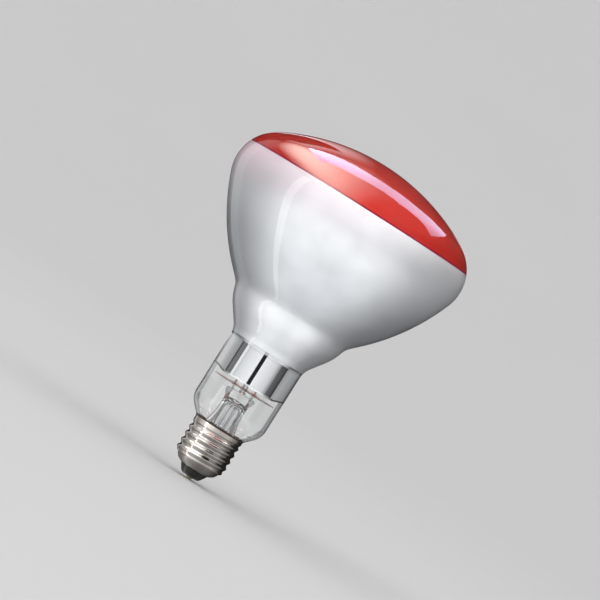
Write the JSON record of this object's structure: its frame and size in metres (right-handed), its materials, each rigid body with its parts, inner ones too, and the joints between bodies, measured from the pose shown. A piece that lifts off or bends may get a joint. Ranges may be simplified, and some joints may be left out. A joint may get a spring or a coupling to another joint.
{
  "type": "infrared heat lamp",
  "caption": "Reflector heat lamp: blown glass bulb with ruby face, silvered bowl and mirrored neck over a glass stem with leads and filament, on an E27 screw cap.",
  "frame": {"origin": "the tip of the centre contact, on the lamp's axis, where the cap meets the lampholder", "axes": "+Z runs along the lamp's axis from the cap to the red face, and the two inner leads lie to -X and +X"},
  "size_m": [0.125, 0.125, 0.1756],
  "materials": {
    "clear_glass": "clear polished blown glass",
    "ruby_coating": "transparent ruby coating behind glossy glass",
    "reflector_aluminium": "vapour-deposited aluminium, satin on the bowl and bright in the neck",
    "stem_glass": "clear fire-polished glass",
    "copper_clad_wire": "oxidised copper-clad wire, red-brown in the glass",
    "nickel_wire": "drawn nickel, slightly dull",
    "mica": "pinkish-brown split mica",
    "tungsten": "grey coiled tungsten",
    "molybdenum": "drawn molybdenum",
    "nickel_plated_brass": "bright nickel plate with rolling marks",
    "black_glass": "glossy black glass",
    "cement": "baked brown cement",
    "brass_plate": "pressed brass",
    "solder": "dull tin solder"
  },
  "bodies": {
    "root": {"envelope_glass": "clear_glass", "red_face_coating": "ruby_coating", "reflector_film": "reflector_aluminium", "stem_flare": "stem_glass", "stem_press": "stem_glass", "exhaust_tube": "stem_glass", "support_rod": "stem_glass", "seal_wire_left": "copper_clad_wire", "seal_wire_right": "copper_clad_wire", "inner_lead_left": "nickel_wire", "inner_lead_right": "nickel_wire", "heat_shield_disc": "mica", "disc_eyelet_left": "nickel_wire", "disc_eyelet_right": "nickel_wire", "filament": "tungsten", "filament_support_1": "molybdenum", "filament_support_2": "molybdenum", "filament_support_3": "molybdenum", "filament_support_4": "molybdenum", "filament_support_5": "molybdenum", "centre_lead_upper": "nickel_wire", "fuse_wire": "nickel_wire", "centre_lead_lower": "nickel_wire", "side_lead": "nickel_wire", "cap_screw_shell": "nickel_plated_brass", "cap_insulator": "black_glass", "cap_cement": "cement", "centre_contact": "brass_plate", "centre_solder": "solder", "rim_solder": "solder"}
  },
  "joints": []
}
